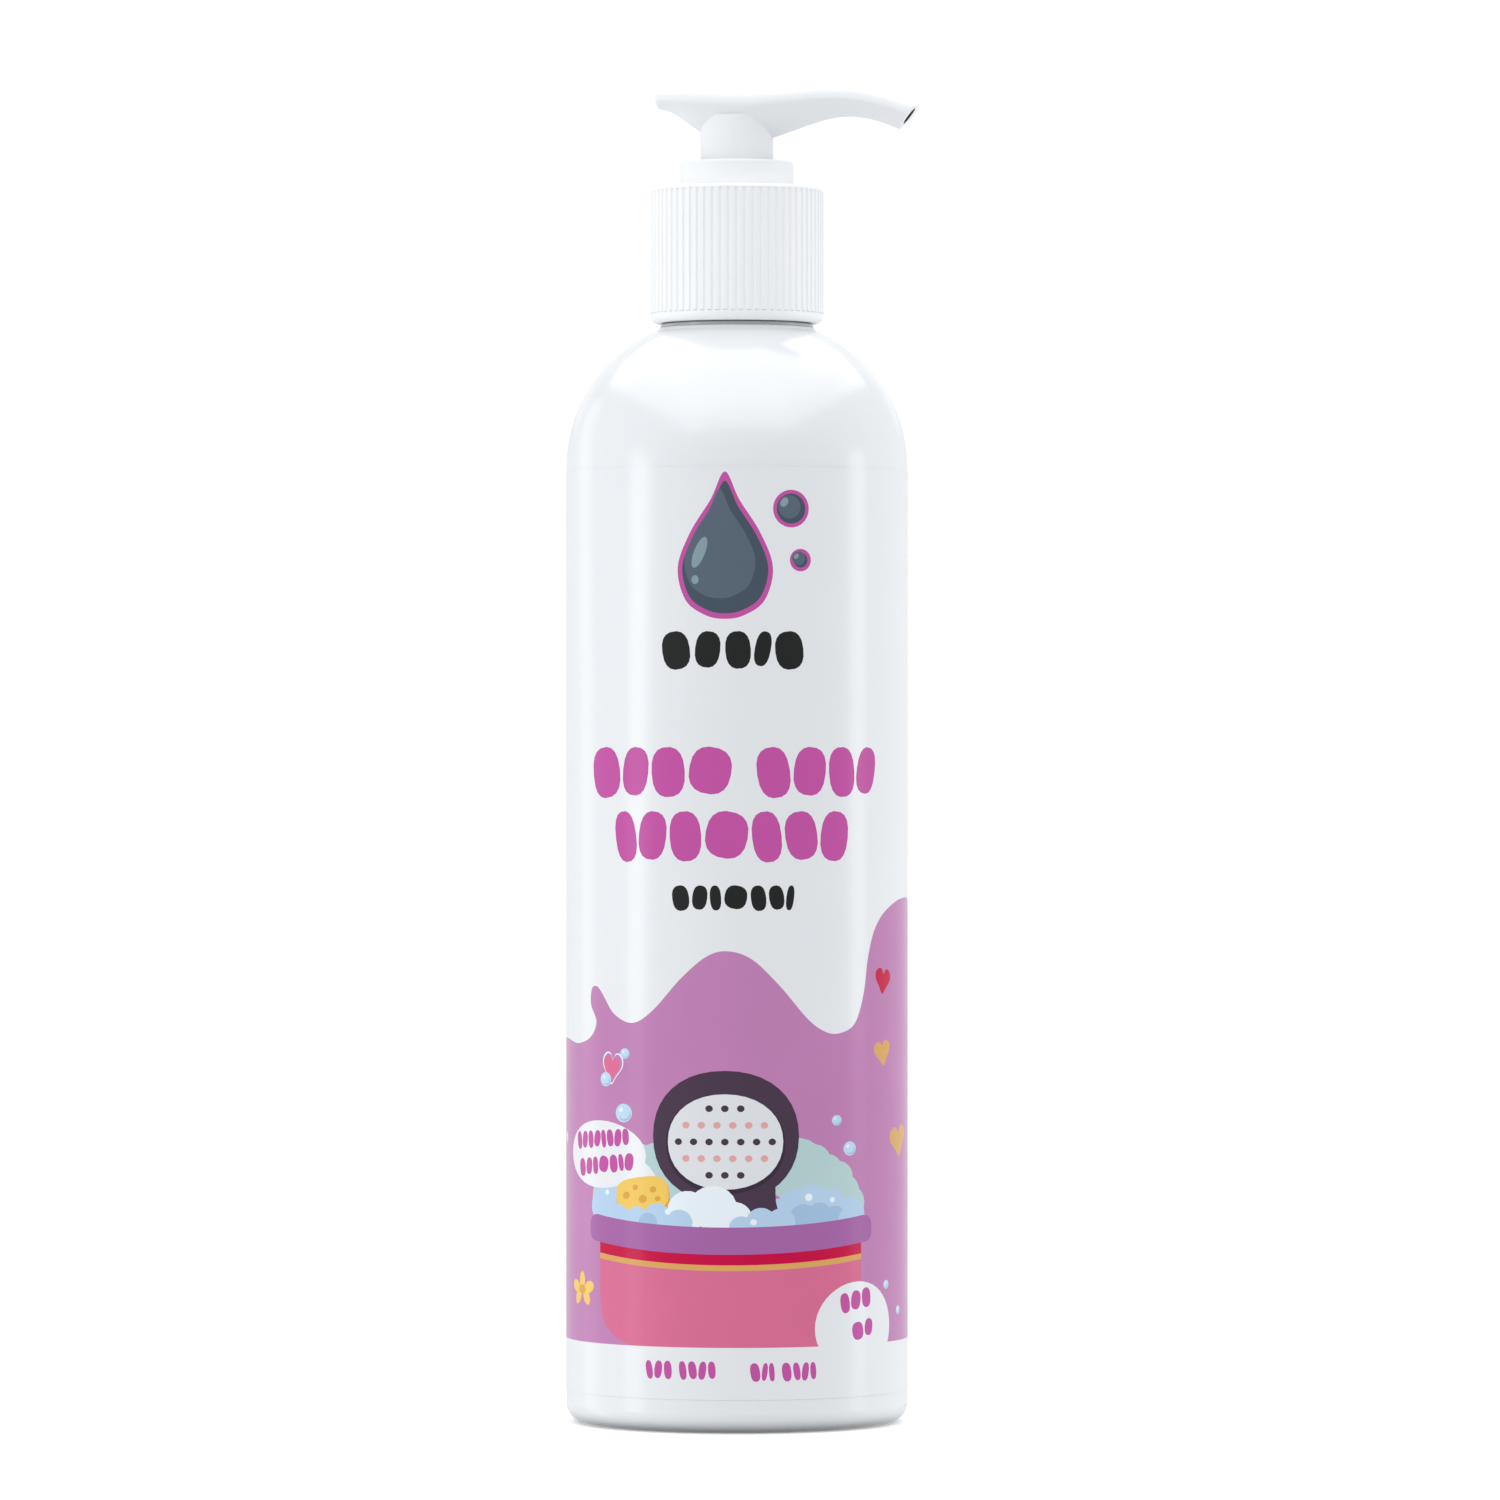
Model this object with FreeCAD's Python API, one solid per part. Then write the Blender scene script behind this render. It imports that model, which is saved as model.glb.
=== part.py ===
"""A round lotion-pump bottle for pet shampoo, built as the separate pieces that it comes apart into.

Frame: millimetres, +Z up. The origin is the centre of the base, on the bottle's axis. The pump's
spout points along +X, turned a few degrees towards -Y, the printed front.
The pump is modelled fully down, as it is sold: its head can rise by STROKE.
"""

import FreeCAD, Part
import math
import os

# ---------------------------------------------------------------- bottle and label
BOTTLE_R = 23.0  # outside radius of the straight body
WALL = 1.0
BASE_WALL = 1.4
FOOT_CORNER_R = 2.7  # outside corner between the wall and the base
FOOT_RING_IN = 16.8  # inner radius of the flat ring that the bottle stands on
PUSH_UP = 2.2  # height of the dome under the base
SHOULDER_R = 20.0  # one arc makes the whole shoulder
SHOULDER_Z = 128.6  # where the straight wall ends
NECK_ROOT_R = 8.7
NECK_BORE_R = 6.9
NECK_TOP_Z = 163.0
NECK_LIP = 0.3
BEAD_R = 9.5  # ring round the foot of the neck
BEAD_Z = 150.4
BEAD_HALF = 0.8
NECK_FOOT_R = 10.3  # the low step between the shoulder and the neck, just under the closure
NECK_FOOT_TOP_Z = 147.9
NECK_FOOT_EDGE = 0.15
NECK_FOOT_SKIRT = (11.0, 146.88)  # where the slope round the step sinks into the shoulder
NECK_FOOT_SKIRT_Z = 147.5  # top of that slope
NECK_FOOT_ROOT = (8.5, 147.3)  # inside the wall

LABEL_FOOT_Z = 4.6
LABEL_HEAD_Z = 128.0
LABEL_THICK = 0.1
LABEL_SEAM_DEG = 3.0  # open seam at the back
GLUE = 0.01
PRESS_GAP = 0.02  # clearance of pressed pieces: the tube in its socket, the stem in the head

# ---------------------------------------------------------------- screw thread
PITCH = 3.175
THREAD_HEIGHT = 1.0
THREAD_BASE = 1.9  # width at the root
THREAD_CREST = 0.9
THREAD_BURY = 0.15  # how far a ridge's root reaches into its wall
NECK_THREAD_Z = 157.0  # middle of the ridge at its lower end
NECK_THREAD_TURNS = 1.5
CLOSURE_THREAD_TURNS = 1.25
THREAD_DROP = 1.36  # how far the closure's ridge lies under the neck's when tight

# ---------------------------------------------------------------- closure, gasket and housing
CLOSURE_R = 11.7
CLOSURE_BORE_R = 10.05
CLOSURE_BAND_R = 11.58  # plain band under the ribs
CLOSURE_FOOT_Z = 148.0
CLOSURE_PLATE = 1.3
CLOSURE_HOLE_R = 7.1
CLOSURE_FOOT_ROUND = 0.9
CLOSURE_TOP_ROUND = 0.6
RIB_COUNT = 68
GROOVE_R = 0.36  # the grooves between the ribs are round
GROOVE_DEPTH = 0.2
GROOVE_RUN_OUT = 0.1  # how far the grooves reach down into the band
RIB_FOOT_Z = 149.28
RIB_FOOT_SLOPE = 0.06  # height of the slope under each rib
GROOVE_TOP_Z = 165.75

GASKET_THICK = 0.8
GASKET_IN_R = 6.6
GASKET_OUT_R = 9.5
FLANGE_R = 9.7
FLANGE_THICK = 1.2
SOCKET_R = 6.4  # upper part of the housing, round the lock collar's plug
SOCKET_BORE_R = 5.4
SOCKET_BORE_Z = 160.2
SOCKET_FOOT_Z = 158.0
SOCKET_TAPER = 1.0  # height of the cone under the socket
BARREL_R = 5.7
BARREL_BORE_R = 4.6
BARREL_FLOOR_Z = 125.4
BARREL_FOOT_Z = 124.6
BARREL_TAPER = 2.0  # height of the cone under the barrel
VENT_R = 0.5  # lets air into the bottle as it empties
VENT_Z = 156.0
POCKET_R = 2.6  # where the inlet ball moves
THROAT_R = 1.2
THROAT_Z = 122.2  # lower edge of the 45-degree ball seat
TUBE_SOCKET_R = 3.5
TUBE_SOCKET_TOP_Z = 121.4
TUBE_SOCKET_FOOT_Z = 111.4

# ---------------------------------------------------------------- lock collar
COLLAR_R = 7.66
COLLAR_TOP_Z = 169.8
COLLAR_FOOT_Z = 166.4
COLLAR_FOOT_EDGE = 0.25
COLLAR_TOP_ROUND = 0.4
COLLAR_BORE_EDGE = 0.3
COLLAR_NECK_R = 6.85  # the part that stands in the closure's hole
COLLAR_BORE_R = 6.1
COLLAR_FLOOR = 0.8
GUIDE_R = 3.28  # hole that guides the stem
PLUG_R = 5.37
PLUG_IN_R = 3.9
PLUG_FOOT_Z = 160.6
SNAP_Z = 163.0  # bead that snaps the plug into the housing
SNAP_HALF = 0.4
SNAP_HEIGHT = 0.14
LEDGE_IN_R = 5.2
LEDGE_FOOT_Z = 167.5
LEDGE_TOP_Z = 168.6
LEDGE_ARC_DEG = 80.0

# ---------------------------------------------------------------- moving column
STROKE = 12.0
STEM_R = 3.2
STEM_BORE_R = 1.5
STEM_SOCKET_R = 1.9
STEM_TOP_Z = 172.6
STEM_FOOT_Z = 144.4
STEM_STOP_R = 4.3  # flange that meets the plug's foot at the top of the stroke
STEM_STOP_THICK = 0.9
ROD_R = 1.86
ROD_WAIST_R = 1.5
ROD_WAIST_DROP = 0.6  # from the stem's foot down to the waist
ROD_WAIST_TAPER = 0.3
ROD_TOP_Z = 149.0
ROD_FLUTES = 3
ROD_FLUTE_R = 0.75
SEAT_R = 3.6
SEAT_TOP_Z = 141.0
SEAT_THICK = 1.2
SPIGOT_R = 2.3
SPIGOT_LENGTH = 3.6
SPIGOT_CHAMFER = 0.4

PISTON_R = 4.56
PISTON_ON_STEM_R = 3.24
PISTON_SLEEVE_R = 3.9
PISTON_SLEEVE_TOP_Z = 146.5
PISTON_HUB_R = 2.7
PISTON_HUB_BORE_R = 2.0
PISTON_STEP_Z = 143.2
PISTON_WEB_TOP_Z = 144.2
PISTON_WEB_EDGE = 0.2
LIP_ROOT_R = 4.2
LIP_TIP = 0.22
LIP_TOP_Z = 145.8
LIP_FOOT_Z = 141.8

# ---------------------------------------------------------------- spring, ball valve and dip tube
SPRING_R = 3.15  # to the middle of the wire
WIRE_R = 0.4
SPRING_TURNS = 8
SPRING_END_TURNS = 1.0  # closed turns at each end
CLOSED_PITCH = 1.02  # pitch of a closed turn, in wire diameters
SPRING_STEPS = 16  # points in each turn
CAGE_R = 4.58
CAGE_BORE_R = 3.0
CAGE_TOP_Z = 129.2
CAGE_PLATE = 1.0
CAGE_STOP_R = 1.0
CAGE_STOP_Z = 127.4
CAGE_HOLES = 4
CAGE_HOLE_R = 0.7
CAGE_HOLE_PCD_R = 2.0
BALL_R = 2.0
BALL_GAP = 0.04
TUBE_R = 2.48
TUBE_BORE_R = 1.7
TUBE_FOOT_Z = 5.0
TUBE_CUT_DEG = 30.0

# ---------------------------------------------------------------- head
HEAD_YAW_DEG = -8.0
SKIRT_R = 4.9
SKIRT_FOOT_Z = 166.1
SKIRT_TOP_Z = 176.0
SKIRT_CHAMFER = 0.3
LUG_R = 5.8
LUG_ROOT_R = 4.0  # inside the skirt's wall
LUG_TOP_Z = 167.1
LUG_ARC_DEG = 70.0
HEAD_EDGE_R = 1.25
HEAD_EDGE_STEPS_DEG = (25, 50, 75)
HEAD_CROWN = 0.12
BELLY_POWER = 0.62  # shape of the keel: 0.5 is round, 1 is a sharp V
BELLY_STEPS = (0.05, 0.18, 0.38, 0.6, 0.8, 1.0)  # shares of the height from keel to edge
CHANNEL_R = 1.15
CHANNEL_START_Z = 176.3  # over the stem
CHANNEL_BEND_X = 10.0  # it climbs to here, then droops to the mouth
CHANNEL_BEND_Z = 177.55
MOUTH_X = 25.0
MOUTH_Z = 175.34
LIP_UPPER = (24.45, 177.15)
LIP_LOWER = (22.2, 174.2)
# distance along the spout, half width, height of the top, height of the keel
HEAD_STATIONS = [
    (-10.80, 2.6, 178.88, 177.20),
    (-10.25, 3.4, 178.92, 177.00),
    (-8.90, 4.2, 178.93, 176.60),
    (-7.00, 4.8, 178.93, 175.35),
    (-5.00, 5.2, 178.80, 173.95),
    (-2.00, 5.45, 178.62, 172.60),
    (1.50, 5.5, 178.52, 172.20),
    (5.00, 5.3, 178.64, 173.05),
    (8.00, 4.9, 178.84, 174.05),
    (11.00, 4.4, 179.12, 175.05),
    (14.00, 4.0, 179.18, 175.72),
    (17.00, 3.7, 178.88, 175.62),
    (20.00, 3.45, 178.24, 174.85),
    (22.20, 3.3, 177.50, 173.95),
    (23.60, 3.25, 177.10, 173.35),
    (25.50, 3.2, 177.05, 172.90),
]

OVERRUN = 0.5  # how far a cutting shape passes the face that it leaves through
BLOCK = 40.0  # side of a block that cuts away everything under a plane

FLANGE_FOOT_Z = NECK_TOP_Z + GASKET_THICK
FLANGE_TOP_Z = FLANGE_FOOT_Z + FLANGE_THICK
CLOSURE_TOP_Z = FLANGE_TOP_Z + CLOSURE_PLATE
STEM_STOP_TOP_Z = PLUG_FOOT_Z - STROKE
SEAT_FOOT_Z = SEAT_TOP_Z - SEAT_THICK
BALL_Z = THROAT_Z - THROAT_R + (BALL_R + BALL_GAP) * math.sqrt(2)
ORIGIN = FreeCAD.Vector(0, 0, 0)
AXIS = FreeCAD.Vector(0, 0, 1)


# ---------------------------------------------------------------- helpers
def at(r, z):
    """A point of a half section, at radius r and height z."""
    return FreeCAD.Vector(r, 0, z)


def outline(*steps):
    """A closed wire. A step is (r, z) for a line to it, or (via r, via z, r, z) for an arc."""
    edges = []
    here = at(*steps[0])
    for step in (*steps[1:], steps[0]):
        end = at(*step[-2:])
        if len(step) == 4:
            edges.append(Part.Arc(here, at(*step[:2]), end).toShape())
        elif here.distanceToPoint(end) > 1e-6:
            edges.append(Part.LineSegment(here, end).toShape())
        here = end
    return Part.Wire(edges)


def turned(*steps, arc_deg=360):
    """The solid that a half section makes when it turns about the axis."""
    return Part.Face(outline(*steps)).revolve(ORIGIN, AXIS, arc_deg)


def corner(centre_r, centre_z, radius, from_deg, to_deg):
    """An arc step round a centre, in degrees from the +r direction towards +Z."""
    middle = math.radians((from_deg + to_deg) / 2)
    last = math.radians(to_deg)
    return (
        centre_r + radius * math.cos(middle),
        centre_z + radius * math.sin(middle),
        centre_r + radius * math.cos(last),
        centre_z + radius * math.sin(last),
    )


def ring(outer, inner, foot, top):
    return turned((inner, foot), (outer, foot), (outer, top), (inner, top))


def rod(radius, foot, top, x=0.0, y=0.0):
    return Part.makeCylinder(radius, top - foot, FreeCAD.Vector(x, y, foot))


def sector(outer, inner, foot, top, centre_deg, arc_deg):
    """A piece of a ring, arc_deg wide."""
    piece = turned((inner, foot), (outer, foot), (outer, top), (inner, top), arc_deg=arc_deg)
    piece.rotate(ORIGIN, AXIS, centre_deg - arc_deg / 2)
    return piece


def block_under(x, z, tilt_deg):
    """A block whose top face is the plane through (x, z), tilted about the Y direction."""
    block = Part.makeBox(BLOCK, BLOCK, BLOCK, FreeCAD.Vector(-BLOCK / 2, -BLOCK / 2, -BLOCK))
    block.rotate(ORIGIN, FreeCAD.Vector(0, 1, 0), tilt_deg)
    block.translate(at(x, z))
    return block


def around(shape, count):
    """One compound of copies, spaced evenly about the axis."""
    copies = []
    for i in range(count):
        copy = shape.copy()
        copy.rotate(ORIGIN, AXIS, 360.0 * i / count)
        copies.append(copy)
    return Part.makeCompound(copies)


def dome_mid(edge_r, edge_z, rise):
    """The point half way out along a dome of this edge and rise."""
    sphere_r = (edge_r**2 + rise**2) / (2 * rise)
    return edge_r / 2, edge_z + rise - sphere_r + math.sqrt(sphere_r**2 - edge_r**2 / 4)


def ridge(root_r, outward, foot_z, turns):
    """A thread ridge that stands out of a wall of radius root_r; outward is 1 or -1."""
    helix = Part.makeHelix(PITCH, PITCH * turns, root_r)
    helix.translate(FreeCAD.Vector(0, 0, foot_z))
    crest_half = THREAD_CREST / 2
    root_half = THREAD_BASE / 2 + (THREAD_BASE / 2 - crest_half) * THREAD_BURY / THREAD_HEIGHT
    root = root_r - outward * THREAD_BURY
    crest = root_r + outward * THREAD_HEIGHT
    section = outline(
        (root, foot_z - root_half),
        (crest, foot_z - crest_half),
        (crest, foot_z + crest_half),
        (root, foot_z + root_half),
    )
    return Part.Wire(helix.Edges).makePipeShell([section], True, True)


# ---------------------------------------------------------------- bottle and label
def bottle():
    """The blown bottle: one wall from base to neck, with the neck's step, bead and thread."""
    centre_r = BOTTLE_R - SHOULDER_R
    wall_r = BOTTLE_R - WALL
    in_r = SHOULDER_R - WALL
    in_corner_r = FOOT_CORNER_R - WALL
    in_ring = FOOT_RING_IN - WALL
    neck_deg = math.degrees(math.acos((NECK_ROOT_R - centre_r) / SHOULDER_R))
    bore_deg = math.degrees(math.acos((NECK_BORE_R - centre_r) / in_r))
    body = turned(
        (0, PUSH_UP),
        (*dome_mid(FOOT_RING_IN, 0, PUSH_UP), FOOT_RING_IN, 0),
        (BOTTLE_R - FOOT_CORNER_R, 0),
        corner(BOTTLE_R - FOOT_CORNER_R, FOOT_CORNER_R, FOOT_CORNER_R, -90, 0),
        (BOTTLE_R, SHOULDER_Z),
        corner(centre_r, SHOULDER_Z, SHOULDER_R, 0, neck_deg),
        (NECK_ROOT_R, NECK_TOP_Z - NECK_LIP),
        (NECK_ROOT_R - NECK_LIP, NECK_TOP_Z),
        (NECK_BORE_R, NECK_TOP_Z),
        (NECK_BORE_R, SHOULDER_Z + in_r * math.sin(math.radians(bore_deg))),
        corner(centre_r, SHOULDER_Z, in_r, bore_deg, 0),
        (wall_r, BASE_WALL + in_corner_r),
        corner(wall_r - in_corner_r, BASE_WALL + in_corner_r, in_corner_r, 0, -90),
        (in_ring, BASE_WALL),
        (*dome_mid(in_ring, BASE_WALL, PUSH_UP), 0, BASE_WALL + PUSH_UP),
    )
    bead = turned(
        (NECK_ROOT_R - THREAD_BURY, BEAD_Z - BEAD_HALF),
        (NECK_ROOT_R, BEAD_Z - BEAD_HALF),
        (BEAD_R, BEAD_Z, NECK_ROOT_R, BEAD_Z + BEAD_HALF),
        (NECK_ROOT_R - THREAD_BURY, BEAD_Z + BEAD_HALF),
    )
    step = turned(
        NECK_FOOT_ROOT,
        NECK_FOOT_SKIRT,
        (NECK_FOOT_R, NECK_FOOT_SKIRT_Z),
        (NECK_FOOT_R, NECK_FOOT_TOP_Z - NECK_FOOT_EDGE),
        (NECK_FOOT_R - NECK_FOOT_EDGE, NECK_FOOT_TOP_Z),
        (NECK_FOOT_ROOT[0], NECK_FOOT_TOP_Z),
    )
    return body.fuse([step, bead, ridge(NECK_ROOT_R, 1, NECK_THREAD_Z, NECK_THREAD_TURNS)])


def wrap_label():
    """The printed film round the body, open by a narrow seam at the back."""
    inner = BOTTLE_R + GLUE
    return sector(inner + LABEL_THICK, inner, LABEL_FOOT_Z, LABEL_HEAD_Z, -90, 360 - LABEL_SEAM_DEG)


# ---------------------------------------------------------------- closure, gasket and housing
def closure():
    """The ribbed screw collar that holds the pump on the neck."""
    cap = turned(
        (CLOSURE_BORE_R, CLOSURE_FOOT_Z),
        (CLOSURE_BAND_R - CLOSURE_FOOT_ROUND, CLOSURE_FOOT_Z),
        corner(
            CLOSURE_BAND_R - CLOSURE_FOOT_ROUND,
            CLOSURE_FOOT_Z + CLOSURE_FOOT_ROUND,
            CLOSURE_FOOT_ROUND,
            -90,
            0,
        ),
        (CLOSURE_BAND_R, RIB_FOOT_Z),
        (CLOSURE_R, RIB_FOOT_Z + RIB_FOOT_SLOPE),
        (CLOSURE_R, CLOSURE_TOP_Z - CLOSURE_TOP_ROUND),
        corner(
            CLOSURE_R - CLOSURE_TOP_ROUND,
            CLOSURE_TOP_Z - CLOSURE_TOP_ROUND,
            CLOSURE_TOP_ROUND,
            0,
            90,
        ),
        (CLOSURE_HOLE_R, CLOSURE_TOP_Z),
        (CLOSURE_HOLE_R, FLANGE_TOP_Z),
        (CLOSURE_BORE_R, FLANGE_TOP_Z),
    )
    foot_z = NECK_THREAD_Z - THREAD_DROP
    cap = cap.fuse(ridge(CLOSURE_BORE_R, -1, foot_z, CLOSURE_THREAD_TURNS))
    middle_r = CLOSURE_R + GROOVE_R - GROOVE_DEPTH
    groove = rod(GROOVE_R, RIB_FOOT_Z - GROOVE_RUN_OUT, GROOVE_TOP_Z, middle_r)
    return cap.cut(around(groove, RIB_COUNT))


def neck_gasket():
    return ring(GASKET_OUT_R, GASKET_IN_R, NECK_TOP_Z, FLANGE_FOOT_Z)


def pump_housing():
    """The pump's barrel, hung in the neck by its flange, with the ball seat and the tube socket."""
    seat_rise = POCKET_R - THROAT_R
    step = SOCKET_BORE_R - BARREL_BORE_R
    body = turned(
        (SOCKET_BORE_R, FLANGE_TOP_Z),
        (FLANGE_R, FLANGE_TOP_Z),
        (FLANGE_R, FLANGE_FOOT_Z),
        (SOCKET_R, FLANGE_FOOT_Z),
        (SOCKET_R, SOCKET_FOOT_Z),
        (BARREL_R, SOCKET_FOOT_Z - SOCKET_TAPER),
        (BARREL_R, BARREL_FOOT_Z),
        (TUBE_SOCKET_R, BARREL_FOOT_Z - BARREL_TAPER),
        (TUBE_SOCKET_R, TUBE_SOCKET_FOOT_Z),
        (TUBE_R + PRESS_GAP, TUBE_SOCKET_FOOT_Z),
        (TUBE_R + PRESS_GAP, TUBE_SOCKET_TOP_Z),
        (THROAT_R, TUBE_SOCKET_TOP_Z),
        (THROAT_R, THROAT_Z),
        (POCKET_R, THROAT_Z + seat_rise),
        (POCKET_R, BARREL_FLOOR_Z),
        (BARREL_BORE_R, BARREL_FLOOR_Z),
        (BARREL_BORE_R, SOCKET_BORE_Z - step),
        (SOCKET_BORE_R, SOCKET_BORE_Z),
        (SOCKET_BORE_R, SNAP_Z - SNAP_HALF),
        (SOCKET_BORE_R + SNAP_HEIGHT, SNAP_Z),
        (SOCKET_BORE_R, SNAP_Z + SNAP_HALF),
    )
    vent = Part.makeCylinder(VENT_R, SOCKET_R, at(0, VENT_Z), FreeCAD.Vector(-1, 0, 0))
    return body.cut(vent)


def lock_collar():
    """The plug and cup on top of the housing; two ledges catch the head's lugs when it is turned."""
    floor_top = FLANGE_TOP_Z + COLLAR_FLOOR
    body = turned(
        (GUIDE_R, FLANGE_TOP_Z),
        (PLUG_IN_R, FLANGE_TOP_Z),
        (PLUG_IN_R, PLUG_FOOT_Z),
        (PLUG_R, PLUG_FOOT_Z),
        (PLUG_R, SNAP_Z - SNAP_HALF),
        (PLUG_R + SNAP_HEIGHT, SNAP_Z),
        (PLUG_R, SNAP_Z + SNAP_HALF),
        (PLUG_R, FLANGE_TOP_Z),
        (COLLAR_NECK_R, FLANGE_TOP_Z),
        (COLLAR_NECK_R, COLLAR_FOOT_Z),
        (COLLAR_R - COLLAR_FOOT_EDGE, COLLAR_FOOT_Z),
        (COLLAR_R, COLLAR_FOOT_Z + COLLAR_FOOT_EDGE),
        (COLLAR_R, COLLAR_TOP_Z - COLLAR_TOP_ROUND),
        corner(
            COLLAR_R - COLLAR_TOP_ROUND,
            COLLAR_TOP_Z - COLLAR_TOP_ROUND,
            COLLAR_TOP_ROUND,
            0,
            90,
        ),
        (COLLAR_BORE_R + COLLAR_BORE_EDGE, COLLAR_TOP_Z),
        (COLLAR_BORE_R, COLLAR_TOP_Z - COLLAR_BORE_EDGE),
        (COLLAR_BORE_R, floor_top),
        (GUIDE_R, floor_top),
    )
    middle = (COLLAR_BORE_R + COLLAR_NECK_R) / 2
    ledges = [
        sector(middle, LEDGE_IN_R, LEDGE_FOOT_Z, LEDGE_TOP_Z, HEAD_YAW_DEG + side, LEDGE_ARC_DEG)
        for side in (90, 270)
    ]
    return body.fuse(ledges)


# ---------------------------------------------------------------- moving column
def stem():
    """The hollow stem pressed into the head; its flange stops the stroke under the plug."""
    return turned(
        (STEM_SOCKET_R, STEM_FOOT_Z),
        (STEM_R, STEM_FOOT_Z),
        (STEM_R, STEM_STOP_TOP_Z - STEM_STOP_THICK),
        (STEM_STOP_R, STEM_STOP_TOP_Z - STEM_STOP_THICK),
        (STEM_STOP_R, STEM_STOP_TOP_Z),
        (STEM_R, STEM_STOP_TOP_Z),
        (STEM_R, STEM_TOP_Z),
        (STEM_BORE_R, STEM_TOP_Z),
        (STEM_BORE_R, ROD_TOP_Z),
        (STEM_SOCKET_R, ROD_TOP_Z),
    )


def valve_stem():
    """The fluted rod that turns in the stem's foot, with the piston's seat and the spring's spigot."""
    waist_top = STEM_FOOT_Z - ROD_WAIST_DROP
    foot = SEAT_FOOT_Z - SPIGOT_LENGTH
    body = turned(
        (0, foot),
        (SPIGOT_R - SPIGOT_CHAMFER, foot),
        (SPIGOT_R, foot + SPIGOT_CHAMFER),
        (SPIGOT_R, SEAT_FOOT_Z),
        (SEAT_R, SEAT_FOOT_Z),
        (SEAT_R, SEAT_TOP_Z),
        (ROD_WAIST_R, SEAT_TOP_Z),
        (ROD_WAIST_R, waist_top),
        (ROD_R, waist_top + ROD_WAIST_TAPER),
        (ROD_R, ROD_TOP_Z),
        (0, ROD_TOP_Z),
    )
    flute = rod(ROD_FLUTE_R, waist_top - OVERRUN, ROD_TOP_Z + OVERRUN, ROD_R)
    return body.cut(around(flute, ROD_FLUTES))


def piston():
    """The floating piston: a sleeve on the stem, a hub that closes on the seat, and two lips."""
    return turned(
        (PISTON_HUB_BORE_R, SEAT_TOP_Z),
        (PISTON_HUB_R, SEAT_TOP_Z),
        (PISTON_HUB_R, PISTON_STEP_Z),
        (LIP_ROOT_R - LIP_TIP, PISTON_STEP_Z),
        (PISTON_R - LIP_TIP, LIP_FOOT_Z),
        (PISTON_R, LIP_FOOT_Z),
        (LIP_ROOT_R + LIP_TIP, PISTON_STEP_Z + PISTON_WEB_EDGE),
        (LIP_ROOT_R + LIP_TIP, PISTON_WEB_TOP_Z - PISTON_WEB_EDGE),
        (PISTON_R, LIP_TOP_Z),
        (PISTON_R - LIP_TIP, LIP_TOP_Z),
        (LIP_ROOT_R - LIP_TIP / 2, PISTON_WEB_TOP_Z),
        (PISTON_SLEEVE_R, PISTON_WEB_TOP_Z),
        (PISTON_SLEEVE_R, PISTON_SLEEVE_TOP_Z),
        (PISTON_ON_STEM_R, PISTON_SLEEVE_TOP_Z),
        (PISTON_ON_STEM_R, PISTON_STEP_Z),
        (PISTON_HUB_BORE_R, PISTON_STEP_Z),
    )


# ---------------------------------------------------------------- spring, ball valve and dip tube
def return_spring():
    """The compressed return spring, with closed turns at both ends."""
    low = CAGE_TOP_Z + WIRE_R
    high = SEAT_FOOT_Z - WIRE_R
    end_rise = 2 * WIRE_R * CLOSED_PITCH
    active_turns = SPRING_TURNS - 2 * SPRING_END_TURNS
    slope = (high - low - 2 * end_rise * SPRING_END_TURNS) / active_turns
    points = []
    for i in range(SPRING_TURNS * SPRING_STEPS + 1):
        turn = i / SPRING_STEPS
        lower = min(turn, SPRING_END_TURNS)
        upper = max(turn - (SPRING_TURNS - SPRING_END_TURNS), 0)
        z = low + end_rise * (lower + upper) + slope * (turn - lower - upper)
        angle = 2 * math.pi * turn
        points.append(FreeCAD.Vector(SPRING_R * math.cos(angle), SPRING_R * math.sin(angle), z))
    curve = Part.BSplineCurve()
    curve.interpolate(points)
    start, along = curve.value(curve.FirstParameter), curve.tangent(curve.FirstParameter)[0]
    wire_end = Part.Wire(Part.Circle(start, along, WIRE_R).toShape())
    return Part.Wire(curve.toShape()).makePipeShell([wire_end], True, True)


def ball_cage():
    """The cage under the spring that lets liquid through and keeps the ball near its seat."""
    body = turned(
        (0, CAGE_STOP_Z),
        (CAGE_STOP_R, CAGE_STOP_Z),
        (CAGE_STOP_R, CAGE_TOP_Z - CAGE_PLATE),
        (CAGE_BORE_R, CAGE_TOP_Z - CAGE_PLATE),
        (CAGE_BORE_R, BARREL_FLOOR_Z),
        (CAGE_R, BARREL_FLOOR_Z),
        (CAGE_R, CAGE_TOP_Z),
        (0, CAGE_TOP_Z),
    )
    hole = rod(
        CAGE_HOLE_R,
        CAGE_TOP_Z - CAGE_PLATE - OVERRUN,
        CAGE_TOP_Z + OVERRUN,
        CAGE_HOLE_PCD_R,
    )
    return body.cut(around(hole, CAGE_HOLES))


def inlet_ball():
    return Part.makeSphere(BALL_R, at(0, BALL_Z))


def dip_tube():
    """The suction tube, cut at a slant near the base."""
    tube = ring(TUBE_R, TUBE_BORE_R, TUBE_FOOT_Z, TUBE_SOCKET_TOP_Z)
    tilt = math.radians(TUBE_CUT_DEG)
    slant_z = TUBE_FOOT_Z + TUBE_R * math.tan(tilt)
    return tube.cut(block_under(0, slant_z, TUBE_CUT_DEG))


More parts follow.
